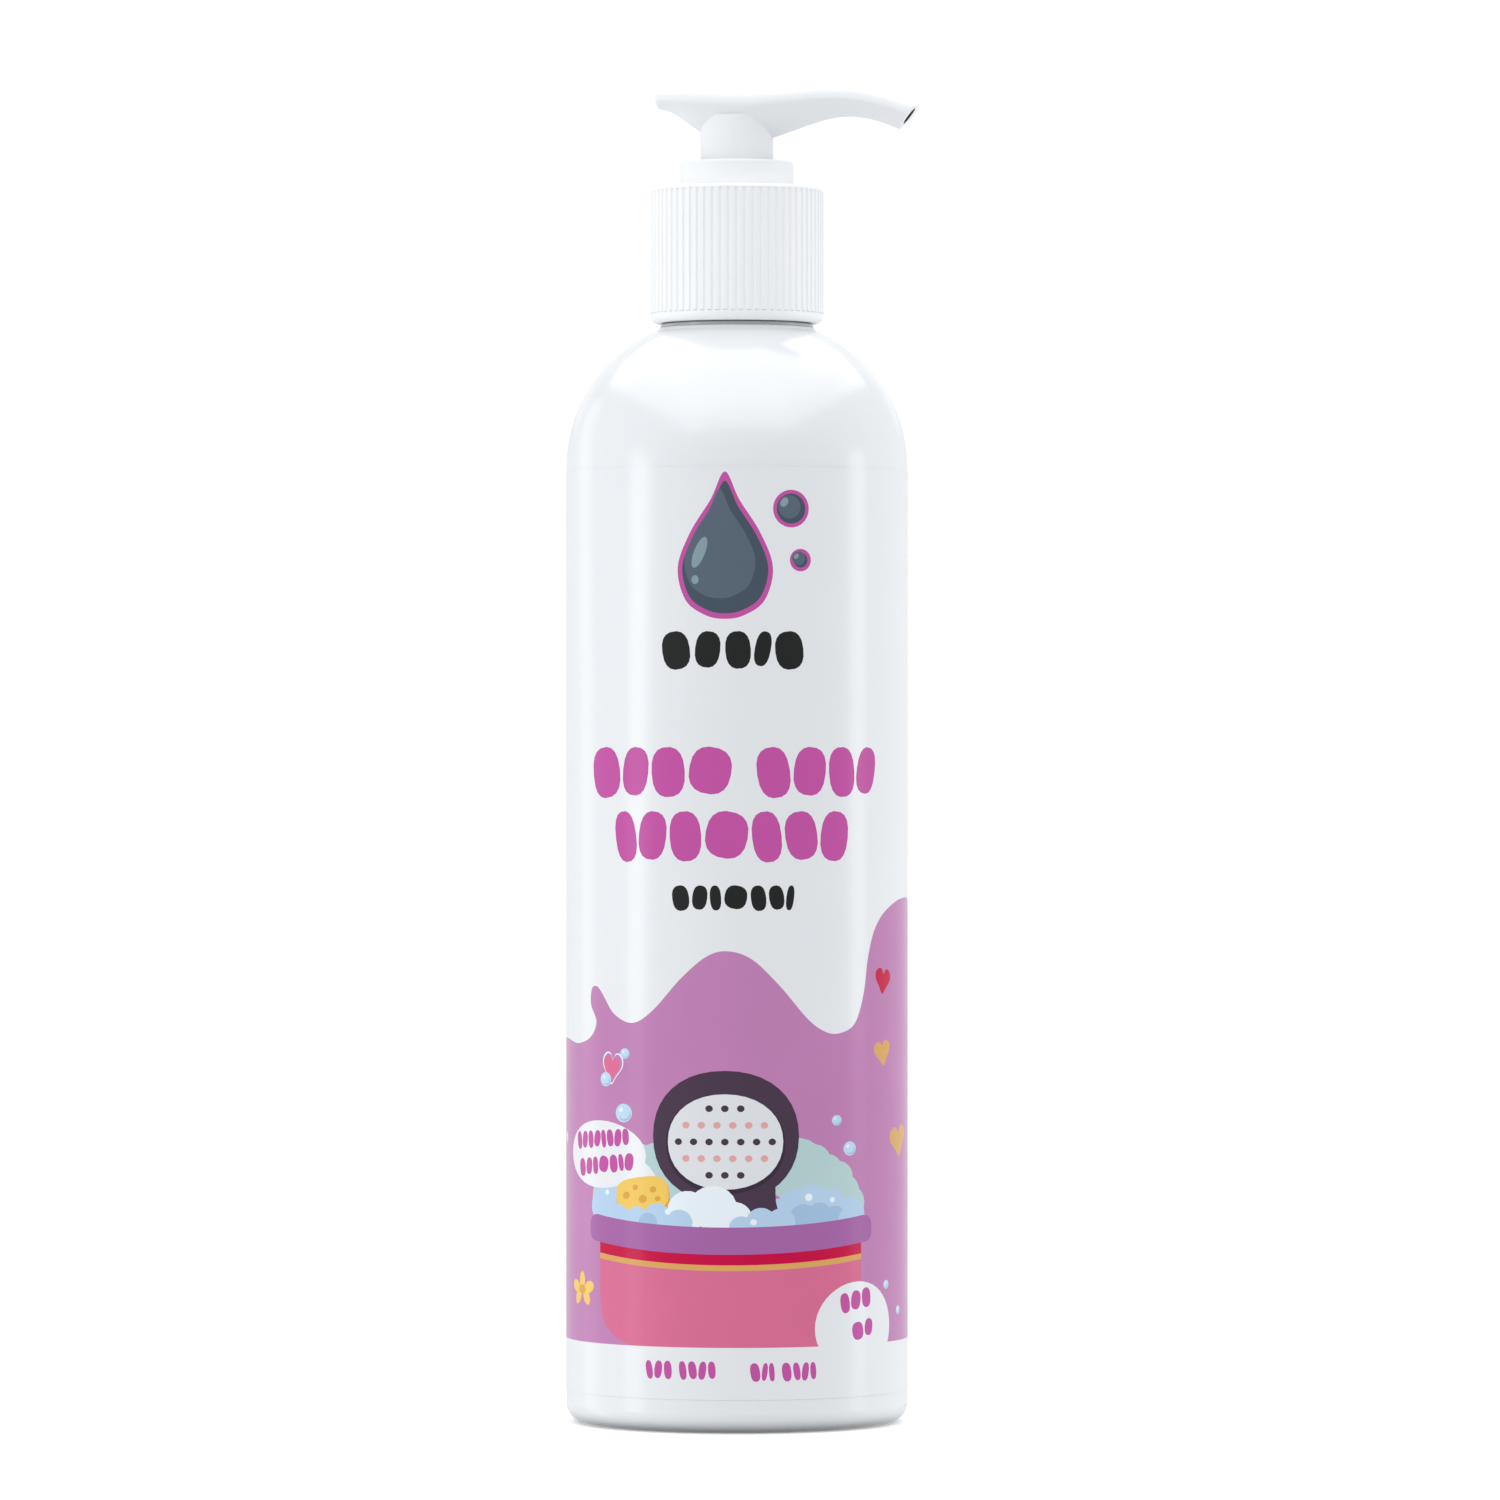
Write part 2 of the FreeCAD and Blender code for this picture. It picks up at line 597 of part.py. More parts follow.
# ---------------------------------------------------------------- head
def head_section(x, half, top, keel):
    """One closed cross-section of the head: a keeled belly under a soft-edged top."""
    edge = min(HEAD_EDGE_R, 0.45 * (top - keel), 0.5 * half)
    shoulder = top - edge
    side = []
    for share in BELLY_STEPS:
        side.append((half * share**BELLY_POWER, keel + share * (shoulder - keel)))
    for deg in HEAD_EDGE_STEPS_DEG:
        angle = math.radians(deg)
        side.append((half - edge + edge * math.cos(angle), shoulder + edge * math.sin(angle)))
    side.append(((half - edge) * 0.7, top + HEAD_CROWN * 0.5))
    side.append(((half - edge) * 0.3, top + HEAD_CROWN * 0.9))
    loop = [(0, keel), *side, *[(-y, z) for y, z in reversed(side)]]
    curve = Part.BSplineCurve()
    curve.interpolate([FreeCAD.Vector(x, y, z) for y, z in loop], PeriodicFlag=True)
    return Part.Wire(curve.toShape())


def channel():
    """The way for the liquid: up from the stem, along the spout and down to its mouth."""
    start = at(0, CHANNEL_START_Z)
    crest = at(CHANNEL_BEND_X, CHANNEL_BEND_Z)
    up = rod(STEM_BORE_R, STEM_TOP_Z - OVERRUN, CHANNEL_START_Z)
    corner_ball = Part.makeSphere(STEM_BORE_R, start)
    climb = Part.makeCylinder(CHANNEL_R, start.distanceToPoint(crest), start, crest - start)
    crest_ball = Part.makeSphere(CHANNEL_R, crest)
    run = MOUTH_X - CHANNEL_BEND_X
    drop = CHANNEL_BEND_Z - MOUTH_Z
    bend_r = (run**2 + drop**2) / (2 * drop)
    half_angle = math.asin(run / bend_r) / 2
    via = at(
        CHANNEL_BEND_X + bend_r * math.sin(half_angle),
        CHANNEL_BEND_Z - bend_r * (1 - math.cos(half_angle)),
    )
    path = Part.Wire(Part.Arc(crest, via, at(MOUTH_X, MOUTH_Z)).toShape())
    circle = Part.Circle(crest, FreeCAD.Vector(1, 0, 0), CHANNEL_R)
    bend = path.makePipeShell([Part.Wire(circle.toShape())], True, True)
    return up.fuse([corner_ball, climb, crest_ball, bend])


def actuator_head():
    """The pressed head: keeled body, drooping spout, skirt with lock lugs, and the channel."""
    body = Part.makeLoft([head_section(*station) for station in HEAD_STATIONS], True, False)
    skirt = turned(
        (0, SKIRT_FOOT_Z),
        (SKIRT_R - SKIRT_CHAMFER, SKIRT_FOOT_Z),
        (SKIRT_R, SKIRT_FOOT_Z + SKIRT_CHAMFER),
        (SKIRT_R, SKIRT_TOP_Z),
        (0, SKIRT_TOP_Z),
    )
    lugs = [
        sector(LUG_R, LUG_ROOT_R, SKIRT_FOOT_Z + SKIRT_CHAMFER, LUG_TOP_Z, side, LUG_ARC_DEG)
        for side in (0, 180)
    ]
    head = body.fuse([skirt, *lugs])
    rise = LIP_UPPER[1] - LIP_LOWER[1]
    lean = math.degrees(math.atan2(rise, LIP_UPPER[0] - LIP_LOWER[0]))
    mouth = block_under(*LIP_LOWER, -lean)
    stem_hole = rod(STEM_R + PRESS_GAP, SKIRT_FOOT_Z - OVERRUN, STEM_TOP_Z)
    head = head.cut([mouth, channel(), stem_hole])
    head.rotate(ORIGIN, AXIS, HEAD_YAW_DEG)
    return head


PIECES = {
    "bottle": bottle,
    "wrap_label": wrap_label,
    "closure": closure,
    "neck_gasket": neck_gasket,
    "pump_housing": pump_housing,
    "lock_collar": lock_collar,
    "actuator_head": actuator_head,
    "stem": stem,
    "valve_stem": valve_stem,
    "piston": piston,
    "return_spring": return_spring,
    "ball_cage": ball_cage,
    "inlet_ball": inlet_ball,
    "dip_tube": dip_tube,
}


def main():
    os.makedirs("parts", exist_ok=True)
    for node, build in PIECES.items():
        shape = build()
        if len(shape.Solids) != 1 or not shape.isValid():
            raise ValueError(f"{node} is not one valid solid")
        shape.Solids[0].exportStep(f"parts/{node}.step")


main()
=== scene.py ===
import math

import bpy
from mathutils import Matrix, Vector
from mathutils.geometry import delaunay_2d_cdt


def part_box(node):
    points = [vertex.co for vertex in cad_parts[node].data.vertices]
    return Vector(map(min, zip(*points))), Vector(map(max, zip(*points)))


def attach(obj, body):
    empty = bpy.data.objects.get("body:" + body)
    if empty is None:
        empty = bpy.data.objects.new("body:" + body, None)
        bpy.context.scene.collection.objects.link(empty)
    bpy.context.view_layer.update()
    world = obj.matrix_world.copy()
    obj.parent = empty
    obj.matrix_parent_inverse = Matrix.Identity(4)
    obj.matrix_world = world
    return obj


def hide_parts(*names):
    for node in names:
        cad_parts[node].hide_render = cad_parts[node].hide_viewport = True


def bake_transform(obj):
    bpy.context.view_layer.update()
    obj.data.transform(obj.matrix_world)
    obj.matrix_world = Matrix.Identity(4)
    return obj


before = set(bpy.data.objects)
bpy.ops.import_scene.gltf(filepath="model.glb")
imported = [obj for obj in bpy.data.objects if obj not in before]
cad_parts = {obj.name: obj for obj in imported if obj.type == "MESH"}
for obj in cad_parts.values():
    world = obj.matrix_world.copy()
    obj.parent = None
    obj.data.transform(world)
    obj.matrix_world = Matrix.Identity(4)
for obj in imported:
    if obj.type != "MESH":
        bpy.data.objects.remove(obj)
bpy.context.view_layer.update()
scene = bpy.context.scene
MM = 0.001

# ---------------------------------------------------------------- materials
BOTTLE_WHITE = (0.81, 0.825, 0.845)
PUMP_WHITE = (0.89, 0.90, 0.91)
HEAD_WHITE = (0.875, 0.885, 0.9)
CLOSURE_WHITE = (0.915, 0.925, 0.935)

PLASTIC_IOR = 1.5
ROUGHNESS_SPREAD = 0.015
LEAST_ROUGHNESS = 0.02
GRAIN_DEPTH = 0.00001
RIPPLE_DEPTH = 0.0002
RIPPLE_SCALE = 45
NOISE_LOW, NOISE_HIGH = 0.3, 0.7  # nearly all of a noise texture's values lie between these


def ink(*levels):
    """A printed colour given as 0-255 values, as linear light."""
    shares = [level / 255 for level in levels]
    return tuple(s / 12.92 if s <= 0.04045 else ((s + 0.055) / 1.055) ** 2.4 for s in shares)


def surface(
    name,
    colour,
    roughness=0.3,
    variation=0.03,
    blotch=90,
    grain=5000,
    bump=0.1,
    ripple=0.0,
    metallic=0.0,
    specular=0.5,
    translucency=0.0,
    stretch=(1, 1, 1),
):
    """A procedural material: blotchy colour, uneven gloss and a fine grain. Scales are per metre."""
    material = bpy.data.materials.new(name)
    material.use_nodes = True
    nodes, links = material.node_tree.nodes, material.node_tree.links
    shader = nodes["Principled BSDF"]
    where = nodes.new("ShaderNodeTexCoord")
    placed = nodes.new("ShaderNodeMapping")
    placed.inputs["Scale"].default_value = stretch
    links.new(where.outputs["Object"], placed.inputs["Vector"])

    def noise(scale, detail=2.0):
        node = nodes.new("ShaderNodeTexNoise")
        node.inputs["Scale"].default_value = scale
        node.inputs["Detail"].default_value = detail
        links.new(placed.outputs["Vector"], node.inputs["Vector"])
        return node.outputs["Fac"]

    def spread(source, low, high):
        node = nodes.new("ShaderNodeMapRange")
        node.inputs["From Min"].default_value = NOISE_LOW
        node.inputs["From Max"].default_value = NOISE_HIGH
        node.inputs["To Min"].default_value = low
        node.inputs["To Max"].default_value = high
        links.new(source, node.inputs["Value"])
        return node.outputs["Result"]

    mix = nodes.new("ShaderNodeMix")
    mix.data_type = "RGBA"
    mix.inputs["A"].default_value = (*[c * (1 - variation) for c in colour], 1)
    mix.inputs["B"].default_value = (*[min(c * (1 + variation), 1) for c in colour], 1)
    links.new(spread(noise(blotch), 0, 1), mix.inputs["Factor"])
    links.new(mix.outputs["Result"], shader.inputs["Base Color"])
    low = max(roughness - ROUGHNESS_SPREAD, LEAST_ROUGHNESS)
    high = roughness + ROUGHNESS_SPREAD
    links.new(spread(noise(blotch * 3, 4.0), low, high), shader.inputs["Roughness"])

    fine = nodes.new("ShaderNodeBump")
    fine.inputs["Strength"].default_value = bump
    fine.inputs["Distance"].default_value = GRAIN_DEPTH
    links.new(noise(grain, 3.0), fine.inputs["Height"])
    if ripple:
        slow = nodes.new("ShaderNodeBump")
        slow.inputs["Strength"].default_value = ripple
        slow.inputs["Distance"].default_value = RIPPLE_DEPTH
        links.new(noise(RIPPLE_SCALE, 1.0), slow.inputs["Height"])
        links.new(slow.outputs["Normal"], fine.inputs["Normal"])
    links.new(fine.outputs["Normal"], shader.inputs["Normal"])
    shader.inputs["Metallic"].default_value = metallic
    shader.inputs["IOR"].default_value = PLASTIC_IOR
    shader.inputs["Specular IOR Level"].default_value = specular
    shader.inputs["Transmission Weight"].default_value = translucency
    return material


def glossy_white(name):
    """The smooth white of the blown bottle and of the film's unprinted parts."""
    return surface(name, BOTTLE_WHITE, roughness=0.2, variation=0.006, ripple=0.05)


def printed(name, colour):
    return surface(name, colour, roughness=0.2, variation=0.02, specular=0.14)


CAD_FINISH = {
    "bottle": glossy_white("blown_plastic"),
    "closure": surface("closure_plastic", CLOSURE_WHITE, roughness=0.34, variation=0.008),
    "lock_collar": surface(
        "collar_plastic", PUMP_WHITE, roughness=0.34, variation=0.008, specular=0.15
    ),
    "actuator_head": surface(
        "head_plastic", HEAD_WHITE, roughness=0.42, variation=0.008, specular=0.03
    ),
    "stem": surface("stem_plastic", PUMP_WHITE, roughness=0.26, variation=0.008),
    "pump_housing": surface(
        "housing_plastic", (0.72, 0.76, 0.77), roughness=0.38, translucency=0.25
    ),
    "valve_stem": surface("rod_plastic", (0.70, 0.74, 0.75), roughness=0.4),
    "ball_cage": surface("cage_plastic", (0.68, 0.72, 0.74), roughness=0.42),
    "piston": surface(
        "piston_plastic", (0.74, 0.77, 0.78), roughness=0.5, variation=0.04, bump=0.15
    ),
    "dip_tube": surface(
        "tube_plastic", (0.76, 0.80, 0.81), roughness=0.32, translucency=0.35, stretch=(1, 1, 0.1)
    ),
    "neck_gasket": surface(
        "gasket_foam", (0.78, 0.77, 0.73), roughness=0.8, variation=0.06, grain=5200, bump=0.5
    ),
    "inlet_ball": surface(
        "ball_steel", (0.60, 0.60, 0.61), roughness=0.14, metallic=1.0, variation=0.04, bump=0.03
    ),
}


class Mask:
    """Builds the test that says which part of a material takes painted shade in place of its own colour.
    """

    def __init__(self, material):
        self.nodes, self.links = material.node_tree.nodes, material.node_tree.links
        self.base = self.nodes["Principled BSDF"].inputs["Base Color"]
        self.place = self.nodes.new("ShaderNodeTexCoord").outputs["Object"]

    def vector(self, operation, first, second=None):
        node = self.nodes.new("ShaderNodeVectorMath")
        node.operation = operation
        self.links.new(first, node.inputs[0])
        if second is not None:
            node.inputs[1].default_value = second
        return node.outputs

    def scalar(self, operation, first, second):
        node = self.nodes.new("ShaderNodeMath")
        node.operation = operation
        self.links.new(first, node.inputs[0])
        if isinstance(second, float):
            node.inputs[1].default_value = second
        else:
            self.links.new(second, node.inputs[1])
        return node.outputs["Value"]

    def apply(self, inside, shade):
        mix = self.nodes.new("ShaderNodeMix")
        mix.data_type = "RGBA"
        plain = self.base.links[0].from_socket
        self.links.new(inside, mix.inputs["Factor"])
        self.links.new(plain, mix.inputs["A"])
        mix.inputs["B"].default_value = (*shade, 1)
        self.links.new(mix.outputs["Result"], self.base)


def paint_bore_shade(material, mouth, inward, radius, depth, shade):
    """Paints shade on the wall of a round hole: what is near its axis, from its mouth down to this
    depth.
    """
    mask = Mask(material)
    offset = mask.vector("SUBTRACT", mask.place, mouth)["Vector"]
    beside = mask.vector("LENGTH", mask.vector("CROSS_PRODUCT", offset, inward)["Vector"])["Value"]
    along = mask.vector("DOT_PRODUCT", offset, inward)["Value"]
    near = mask.scalar("LESS_THAN", beside, radius)
    mask.apply(mask.scalar("MULTIPLY", near, mask.scalar("LESS_THAN", along, depth)), shade)


def paint_ring_shade(material, inner, outer, low, high, shade):
    """Paints shade on what lies between two radii and two heights."""
    mask = Mask(material)
    across = mask.vector("MULTIPLY", mask.place, (1, 1, 0))["Vector"]
    beside = mask.vector("LENGTH", across)["Value"]
    upright = mask.vector("DOT_PRODUCT", mask.place, (0, 0, 1))["Value"]
    wide_enough = mask.scalar("GREATER_THAN", beside, inner)
    narrow_enough = mask.scalar("LESS_THAN", beside, outer)
    high_enough = mask.scalar("GREATER_THAN", upright, low)
    low_enough = mask.scalar("LESS_THAN", upright, high)
    in_radius = mask.scalar("MULTIPLY", wide_enough, narrow_enough)
    in_height = mask.scalar("MULTIPLY", high_enough, low_enough)
    mask.apply(mask.scalar("MULTIPLY", in_radius, in_height), shade)


# the spout's hole: how far out and how high its mouth is, how it slopes, and how the spout is turned
MOUTH_ALONG = 0.02341
MOUTH_HEIGHT = 0.17579
MOUTH_SLOPE = math.radians(13.8)
SPOUT_YAW = math.radians(-8)
# painted shade inside the spout's hole, standing in for the shadow deep in its bore
paint_bore_shade(
    CAD_FINISH["actuator_head"],
    mouth=(MOUTH_ALONG * math.cos(SPOUT_YAW), MOUTH_ALONG * math.sin(SPOUT_YAW), MOUTH_HEIGHT),
    inward=(
        -math.cos(MOUTH_SLOPE) * math.cos(SPOUT_YAW),
        -math.cos(MOUTH_SLOPE) * math.sin(SPOUT_YAW),
        math.sin(MOUTH_SLOPE),
    ),
    radius=0.00119,
    depth=0.0025,
    shade=(0.10, 0.105, 0.11),
)
# painted shade at the ends of the closure's ribs, where shade gathers
paint_ring_shade(
    CAD_FINISH["closure"],
    inner=0.01159,
    outer=0.0120,
    low=0.14915,
    high=0.14938,
    shade=(0.62, 0.63, 0.65),
)
# painted shadow on the neck's step, which the closure keeps in its shade
paint_ring_shade(
    CAD_FINISH["bottle"],
    inner=0.0100,
    outer=0.01045,
    low=0.14722,
    high=0.1480,
    shade=(0.42, 0.425, 0.435),
)
for node, material in CAD_FINISH.items():
    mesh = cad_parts[node].data
    mesh.materials.clear()
    mesh.materials.append(material)

# ---------------------------------------------------------------- label artwork: its sheet and inks
# Drawn flat in millimetres: across is the distance round the body from the middle of the front,
# up is the height above the base.
FILM_INSET = 0.06  # how far the printed face lies inside the CAD film's own
FILM_THICK = 0.02
film_low, film_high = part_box("wrap_label")
FILM_R = film_high.x / MM - FILM_INSET
FILM_IN_R = FILM_R - FILM_THICK
FILM_FOOT = film_low.z / MM
FILM_HEAD = film_high.z / MM
HALF_SEAM = math.radians(1.5)
HALF_TURN = (math.pi - HALF_SEAM) * FILM_R
DEGREE = math.radians(1) * FILM_R

COLOURS = {
    "film_white": BOTTLE_WHITE,
    "mauve": ink(193, 130, 180),
    "magenta": ink(196, 84, 164),
    "black": ink(34, 36, 36),
    "slate": ink(90, 104, 118),
    "slate_dark": ink(72, 84, 98),
    "slate_light": ink(136, 158, 166),
    "plum": ink(74, 56, 76),
    "plum_dark": ink(58, 44, 62),
    "pad": ink(226, 228, 232),
    "blush": ink(228, 168, 164),
    "mint": ink(184, 211, 211),
    "foam_blue": ink(184, 210, 236),
    "foam_deep": ink(164, 194, 224),
    "bubble": ink(192, 220, 242),
    "bubble_light": ink(236, 244, 250),
    "yellow": ink(244, 202, 98),
    "amber": ink(222, 166, 70),
    "gold": ink(221, 168, 95),
    "crimson": ink(201, 2, 68),
    "rose": ink(226, 110, 150),
    "tub_pink": ink(218, 111, 148),
    "purple": ink(168, 102, 167),
}
LONGEST_EDGE = 1.2
drawing = []  # (colour, outline), each one over those before it


def put(colour, points):
    """Adds an outline to the drawing, its long edges divided to follow the curved wall."""
    outline = []
    for (ax, ay), (bx, by) in zip(points, [*points[1:], points[0]]):
        parts = max(1, math.ceil(abs(bx - ax) / LONGEST_EDGE))
        outline += [(ax + (bx - ax) * i / parts, ay + (by - ay) * i / parts) for i in range(parts)]
    drawing.append((colour, outline))


# ---------------------------------------------------------------- label artwork: its shapes
def between(a, b, c, d, t):
    """The value at share t of the way from b to c, on a smooth line through a, b, c and d."""
    return 0.5 * (
        2 * b + (c - a) * t + (2 * a - 5 * b + 4 * c - d) * t * t + (3 * b - a - 3 * c + d) * t**3
    )


def smooth(points, closed=True, steps=7):
    """A smooth line through a few points."""
    count = len(points)
    out = []
    for i in range(count if closed else count - 1):
        if closed:
            four = [points[(i + k) % count] for k in (-1, 0, 1, 2)]
        else:
            four = [points[min(max(i + k, 0), count - 1)] for k in (-1, 0, 1, 2)]
        for step in range(steps):
            out.append(tuple(between(*values, step / steps) for values in zip(*four)))
    if not closed:
        out.append(points[-1])
    return out


def moved(shape, x, y, tilt):
    """A shape drawn round 0, 0, turned by tilt degrees and moved to x, y."""
    turn = math.radians(tilt)
    return [
        (x + p * math.cos(turn) - q * math.sin(turn), y + p * math.sin(turn) + q * math.cos(turn))
        for p, q in shape
    ]


def oval(x, y, wide, high, tilt=0.0, sides=22, square=2.0):
    """An oval of these half sizes; square above 2 makes it fuller in the corners."""
    shape = []
    for i in range(sides):
        angle = 2 * math.pi * i / sides
        a, b = math.cos(angle), math.sin(angle)
        p = wide * math.copysign(abs(a) ** (2 / square), a)
        q = high * math.copysign(abs(b) ** (2 / square), b)
        shape.append((p, q))
    return moved(shape, x, y, tilt)


HEART = [
    (0, -1.0), (0.45, -0.45), (0.9, 0.1), (0.92, 0.62), (0.55, 0.95), (0.2, 0.86), (0, 0.55),
    (-0.2, 0.86), (-0.55, 0.95), (-0.92, 0.62), (-0.9, 0.1), (-0.45, -0.45),
]


def heart(x, y, wide, high, tilt=0.0):
    """A heart whose middle is at x, y."""
    return moved([(px * wide / 2, py * high / 2) for px, py in smooth(HEART, steps=3)], x, y, tilt)


BAND_STEPS = 20


def band(left, right, top, thick, sag):
    """A strip whose ends stand sag higher than its middle."""
    middle, half = (left + right) / 2, (right - left) / 2
    xs = [left + (right - left) * i / BAND_STEPS for i in range(BAND_STEPS + 1)]
    upper = [(x, top + sag * ((x - middle) / half) ** 2) for x in xs]
    return upper + [(x, z - thick) for x, z in reversed(upper)]


SPACE = 0.55  # a space between words, beside a plain pebble's 1
PEBBLE_LEANS = (9, -7, 4, -11, 7)
PEBBLE_TRIMS = (0.0, 0.05, 0.02, 0.08)
PEBBLE_SQUARE = 2.5


def pebbles(colour, left, right, low, high, shares, rise=0.0, gap=0.12):
    """A row of rounded pebbles in place of a word; shares gives their relative widths, 0 a space."""
    unit = (right - left) / sum(share or SPACE for share in shares)
    x = left
    for i, share in enumerate(shares):
        wide = unit * (share or SPACE)
        if share:
            lift = rise * (x + wide / 2 - left) / (right - left)
            lean = PEBBLE_LEANS[i % len(PEBBLE_LEANS)]
            trim = PEBBLE_TRIMS[i % len(PEBBLE_TRIMS)] * (high - low)
            middle = (low + high) / 2 + lift + trim / 2
            half = wide * (1 - gap) / 2
            tall = (high - low - trim) / 2
            put(colour, oval(x + wide / 2, middle, half, tall, lean, sides=18, square=PEBBLE_SQUARE))
        x += wide


def bubble(x, y, radius):
    """A bubble with a shaded lower right edge and a glint."""
    wide = radius * 1.15
    put("bubble", oval(x, y, wide, radius, sides=20))
    put("foam_deep", oval(x + wide * 0.12, y - radius * 0.16, wide * 0.74, radius * 0.7, sides=18))
    put("bubble", oval(x, y + radius * 0.02, wide * 0.7, radius * 0.66, sides=18))
    glint = (x - wide * 0.32, y + radius * 0.34)
    put("bubble_light", oval(*glint, wide * 0.26, radius * 0.24, tilt=30, sides=12))


def puffs(colour, *circles):
    """Rounded tufts of foam, each given as x, y and radius."""
    for x, y, radius in circles:
        put(colour, oval(x, y, radius * 1.1, radius, sides=22))


# ---------------------------------------------------------------- label artwork: the picture
put(
    "film_white",
    [
        (-HALF_TURN, FILM_FOOT),
        (HALF_TURN, FILM_FOOT),
        (HALF_TURN, FILM_HEAD),
        (-HALF_TURN, FILM_HEAD),
    ],
)

# the coloured wave; its outline runs from the seam round the front to the seam, in degrees and mm
WAVE = [
    (-160, 60.5), (-142, 63.0), (-124, 58.0), (-106, 53.0), (-90, 52.0), (-78, 51.8), (-67, 51.3),
    (-58, 52.2), (-54.3, 54.3), (-57.6, 56.6), (-57.0, 58.7), (-53.8, 59.0), (-50.4, 57.8),
    (-45, 55.4), (-37, 54.3), (-29, 56.0), (-18.5, 60.4), (-10, 63.2), (-3, 63.9), (5, 62.8),
    (14, 59.4), (24, 54.9), (31, 53.1), (37, 53.0), (43, 54.3), (47.0, 58.2), (49.2, 63.0),
    (53, 66.8), (60, 69.2), (72, 70.6), (88, 70.2), (104, 66.0), (122, 57.5), (138, 54.4),
    (154, 56.4), (168, 59.0),
]
WAVE_LEFT_END, WAVE_RIGHT_END = 59.0, 59.4
WAVE_FOOT = 11.5
wave_top = [
    (-HALF_TURN, WAVE_LEFT_END),
    *[(angle * DEGREE, z) for angle, z in WAVE],
    (HALF_TURN, WAVE_RIGHT_END),
]
put(
    "mauve",
    [(-HALF_TURN, WAVE_FOOT), (HALF_TURN, WAVE_FOOT), *reversed(smooth(wave_top, closed=False))],
)

# hearts and bubbles scattered round the body
put("bubble_light", heart(-18.5, 48.2, 4.1, 4.4, -6))
put("mauve", heart(-18.5, 48.2, 3.7, 4.0, -6))
put("rose", heart(-18.7, 48.1, 3.1, 3.4, -6))
put("crimson", heart(23.2, 59.7, 4.0, 3.5, -8))
put("gold", heart(23.1, 50.1, 4.1, 3.4, 8))
put("gold", heart(28.0, 38.2, 6.0, 4.2, 6))
put("crimson", heart(-37.0, 44.0, 4.4, 3.8, 12))
put("gold", heart(-44.5, 33.0, 4.8, 4.0, -10))
put("gold", heart(46.0, 47.0, 4.6, 3.8, -12))
put("rose", heart(56.0, 33.0, 4.4, 3.8, 10))
for x, y, radius in (
    (-16.2, 50.2, 0.7), (-19.8, 46.7, 0.95), (-16.4, 42.3, 1.25), (14.1, 41.4, 0.7),
    (16.3, 37.6, 0.95), (24.0, 19.2, 0.6), (27.8, 15.6, 0.6), (-33.0, 38.5, 0.8),
    (-48.0, 42.0, 1.1), (-56.0, 27.0, 0.9), (37.0, 30.0, 1.1), (41.5, 38.0, 0.7), (62.0, 44.0, 1.0),
):
    bubble(x, y, radius)

# foam behind
puffs(
    "mint",
    (-15.0, 33.6, 5.0), (-10.5, 34.4, 4.2), (-19.0, 31.0, 3.4),
    (8.0, 35.0, 4.2), (10.6, 36.0, 2.3), (12.4, 34.4, 2.6), (14.4, 33.8, 2.2), (15.4, 31.8, 2.4),
    (16.6, 30.4, 2.2), (11.0, 31.0, 4.4),
)
puffs(
    "foam_blue",
    (-20.2, 29.8, 2.5), (-18.2, 31.6, 2.5), (-15.2, 31.8, 2.9), (-11.4, 30.3, 2.6), (-9.4, 28.6, 2.0),
)
puffs(
    "foam_blue",
    (5.6, 29.2, 2.0), (7.8, 30.2, 2.2), (10.4, 30.6, 2.4), (13.2, 30.2, 2.2), (16.4, 28.8, 2.4),
)

# an oval grooming brush standing in the foam, with rows of bristle tips on its pad
BRUSH_X, BRUSH_Y = -1.6, 39.4
PAD_Y = BRUSH_Y - 0.7
TIP_STEP_X, TIP_STEP_Y = 2.1, 2.2
TIPS_WIDE, TIPS_HIGH = 6.9, 5.5
put("plum", smooth([(0.2, 34.0), (-0.2, 26.5), (5.7, 26.5), (5.2, 30.8), (4.6, 34.0)], steps=5))
put("plum", oval(BRUSH_X, BRUSH_Y, 10.0, 8.7, sides=40, square=2.15))
put("plum_dark", oval(BRUSH_X, PAD_Y - 0.3, 8.1, 6.6, sides=36, square=2.1))
put("pad", oval(BRUSH_X, PAD_Y, 7.8, 6.3, sides=36, square=2.1))
for row in range(-2, 3):
    for column in range(-3, 4):
        x = (column + 0.5 * (row % 2)) * TIP_STEP_X
        y = row * TIP_STEP_Y
        if (x / TIPS_WIDE) ** 2 + (y / TIPS_HIGH) ** 2 < 1:
            put("blush" if row % 2 else "plum", oval(BRUSH_X + x, PAD_Y + y, 0.52, 0.46, sides=10))

# plain speech bubble with its tail
put("film_white", smooth([(-20.5, 34.0), (-14.5, 36.6), (-10.9, 33.4), (-14.8, 33.2)], steps=4))
put("film_white", oval(-20.9, 36.7, 8.2, 4.5, sides=36))
pebbles("magenta", -27.2, -15.4, 37.1, 39.5, (1, 1, 0.9, 1, 0.7, 0.9, 0.9, 0.8), rise=0.8)
pebbles("magenta", -26.4, -14.6, 33.5, 35.9, (1.1, 1, 0.8, 1.3, 1, 0.6, 1), rise=1.2)

# bath sponge with its pores
put("amber", oval(-13.4, 31.2, 4.3, 2.5, tilt=8, sides=28, square=3.2))
put("yellow", oval(-13.5, 31.6, 4.2, 2.3, tilt=8, sides=28, square=3.2))
for x, y, size in (
    (-15.9, 31.4, 0.5), (-14.4, 32.5, 0.38), (-13.2, 31.0, 0.55), (-11.6, 32.3, 0.42),
    (-10.9, 31.1, 0.36),
):
    put("amber", oval(x, y, size * 1.2, size, tilt=10, sides=12))

